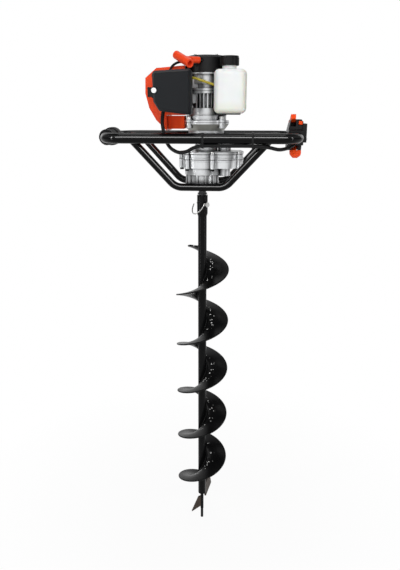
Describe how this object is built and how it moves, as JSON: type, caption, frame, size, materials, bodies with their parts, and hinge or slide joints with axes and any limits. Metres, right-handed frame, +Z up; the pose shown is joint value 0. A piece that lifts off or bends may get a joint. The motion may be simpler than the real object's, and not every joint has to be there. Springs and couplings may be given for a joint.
{
  "type": "petrol earth auger",
  "caption": "Petrol earth auger: a screw bit under a gearbox, a small engine on top, and a tubular handle ring with guards and a throttle grip.",
  "frame": {"origin": "the point of the bit, on the spindle's axis", "axes": "+Z up along the spindle, +X to the operator's right towards the throttle grip, -Y towards the operator"},
  "size_m": [0.5335, 0.262, 1.4049],
  "materials": {
    "black_paint": "gloss",
    "cast_alloy": "cast, satin",
    "plain_steel": "machined",
    "bright_steel": "bright",
    "red_plastic": "moulded",
    "charcoal_plastic": "moulded, satin",
    "black_plastic": "moulded, satin",
    "black_sheet": "satin",
    "black_rubber": "matt",
    "tank_plastic": "moulded, translucent white",
    "hose_rubber": "satin",
    "rope": "braided",
    "foam": "open-cell foam",
    "cutter_steel": "brown, forged"
  },
  "bodies": {
    "powerhead": {"handle_ring": "black_paint", "front_guard_tube": "black_paint", "rear_guard_tube": "black_paint", "gearbox_plate": "black_paint", "gearbox_lower_case": "cast_alloy", "gearbox_upper_case": "cast_alloy", "clutch_housing": "cast_alloy", "crankcase_lower": "cast_alloy", "crankcase_upper": "cast_alloy", "cylinder": "cast_alloy", "piston": "cast_alloy", "carburetor": "cast_alloy", "case_screws": "plain_steel", "ball_bearings": "plain_steel", "connecting_rod": "plain_steel", "spark_plug": "plain_steel", "muffler": "plain_steel", "engine_shroud": "red_plastic", "fan_duct": "red_plastic", "air_cleaner_cover": "charcoal_plastic", "air_cleaner_base": "charcoal_plastic", "starter_housing": "black_plastic", "ignition_coil": "black_plastic", "throttle_shell_left": "black_plastic", "throttle_shell_right": "black_plastic", "muffler_guard": "black_sheet", "tank_bracket": "black_sheet", "left_grip": "black_rubber", "control_cable": "black_rubber", "ignition_lead": "black_rubber", "cable_ties": "black_rubber", "fuel_tank": "tank_plastic", "fuel_hose": "hose_rubber", "air_filter": "foam"},
    "output": {"output_shaft": "plain_steel", "output_gear": "plain_steel", "bit_shaft": "black_paint", "bit_flight": "black_paint", "pilot_point": "plain_steel", "cutting_blades": "cutter_steel", "lock_pin": "bright_steel"},
    "bail": {"lock_pin_bail": "bright_steel"},
    "counter": {"countershaft": "plain_steel", "countershaft_gear": "plain_steel"},
    "drum": {"input_shaft": "plain_steel", "clutch_drum": "plain_steel"},
    "crank": {"crankshaft": "plain_steel", "flywheel_fan": "cast_alloy"},
    "shoe_1": {"clutch_shoe_1": "plain_steel"},
    "shoe_2": {"clutch_shoe_2": "plain_steel"},
    "trigger": {"throttle_trigger": "red_plastic"},
    "valve": {"throttle_valve": "plain_steel"},
    "lock_lever": {"throttle_lock": "red_plastic"},
    "switch": {"stop_switch": "red_plastic"},
    "choke": {"choke_lever": "black_plastic"},
    "knob": {"cover_knob": "bright_steel"},
    "cap": {"fuel_cap": "black_plastic"},
    "handle": {"starter_handle": "red_plastic", "starter_rope": "rope"},
    "reel": {"starter_reel": "black_plastic"}
  },
  "joints": [
    {"name": "output_spin", "type": "hinge", "parent": "powerhead", "child": "output", "pos_m": [0, 0, 1.1], "axis": [0, 0, 1], "continuous": true},
    {"name": "counter_spin", "type": "hinge", "parent": "powerhead", "child": "counter", "pos_m": [0.058, 0, 1.14], "axis": [0, 0, 1], "continuous": true},
    {"name": "drum_spin", "type": "hinge", "parent": "powerhead", "child": "drum", "pos_m": [0.01, 0, 1.18], "axis": [0, 0, 1], "continuous": true},
    {"name": "bail_swing", "type": "hinge", "parent": "output", "child": "bail", "pos_m": [0.01253, -0.01494, 1.026], "axis": [-0.6496, -0.5451, 0.5299], "range_deg": [0, 110]},
    {"name": "crank_spin", "type": "hinge", "parent": "powerhead", "child": "crank", "pos_m": [0.01, 0, 1.3], "axis": [0, 0, 1], "continuous": true},
    {"name": "shoe_1_swing", "type": "hinge", "parent": "crank", "child": "shoe_1", "pos_m": [0.039, 0, 1.2075], "axis": [0, 0, -1], "range_deg": [0, 1.2], "stiffness_Nm_per_rad": 4},
    {"name": "shoe_2_swing", "type": "hinge", "parent": "crank", "child": "shoe_2", "pos_m": [-0.019, 0, 1.2075], "axis": [0, 0, -1], "range_deg": [0, 1.2]},
    {"name": "trigger_squeeze", "type": "hinge", "parent": "powerhead", "child": "trigger", "pos_m": [0.24, 0.025, 1.1775], "axis": [-1, 0, 0], "range_deg": [0, 11], "stiffness_Nm_per_rad": 0.6},
    {"name": "valve_turn", "type": "hinge", "parent": "powerhead", "child": "valve", "pos_m": [-0.046, -0.064, 1.314], "axis": [0, 0, -1], "range_deg": [0, 66]},
    {"name": "lock_press", "type": "hinge", "parent": "powerhead", "child": "lock_lever", "pos_m": [0.232, 0.017, 1.2395], "axis": [1, 0, 0], "range_deg": [0, 8], "stiffness_Nm_per_rad": 0.4},
    {"name": "switch_rock", "type": "hinge", "parent": "powerhead", "child": "switch", "pos_m": [0.25, -0.018, 1.2375], "axis": [1, 0, 0], "range_deg": [0, 8]},
    {"name": "choke_turn", "type": "hinge", "parent": "powerhead", "child": "choke", "pos_m": [-0.119, -0.084, 1.307], "axis": [0, 1, 0], "range_deg": [0, 40]},
    {"name": "knob_turn", "type": "hinge", "parent": "powerhead", "child": "knob", "pos_m": [-0.1045, -0.1, 1.312], "axis": [0, -1, 0], "range_deg": [0, 1080]},
    {"name": "cap_lift", "type": "slide", "parent": "powerhead", "child": "cap", "axis": [0, 0, 1], "range_m": [0, 0.06]},
    {"name": "handle_pull", "type": "slide", "parent": "powerhead", "child": "handle", "axis": [-0.7912, -0.6115, 0], "range_m": [0, 0.8], "deforming": ["starter_rope"]},
    {"name": "reel_spin", "type": "hinge", "parent": "powerhead", "child": "reel", "pos_m": [0.01, 0, 1.384], "axis": [0, 0, -1], "range_deg": [0, 1432.4]}
  ],
  "couplings": [
    {"joint": "counter_spin", "follows": "output_spin", "ratio": -3.1429},
    {"joint": "drum_spin", "follows": "output_spin", "ratio": 22},
    {"joint": "shoe_2_swing", "follows": "shoe_1_swing", "ratio": 1},
    {"joint": "valve_turn", "follows": "trigger_squeeze", "ratio": 6},
    {"joint": "reel_spin", "follows": "handle_pull", "rad_per_m": 31.25}
  ]
}
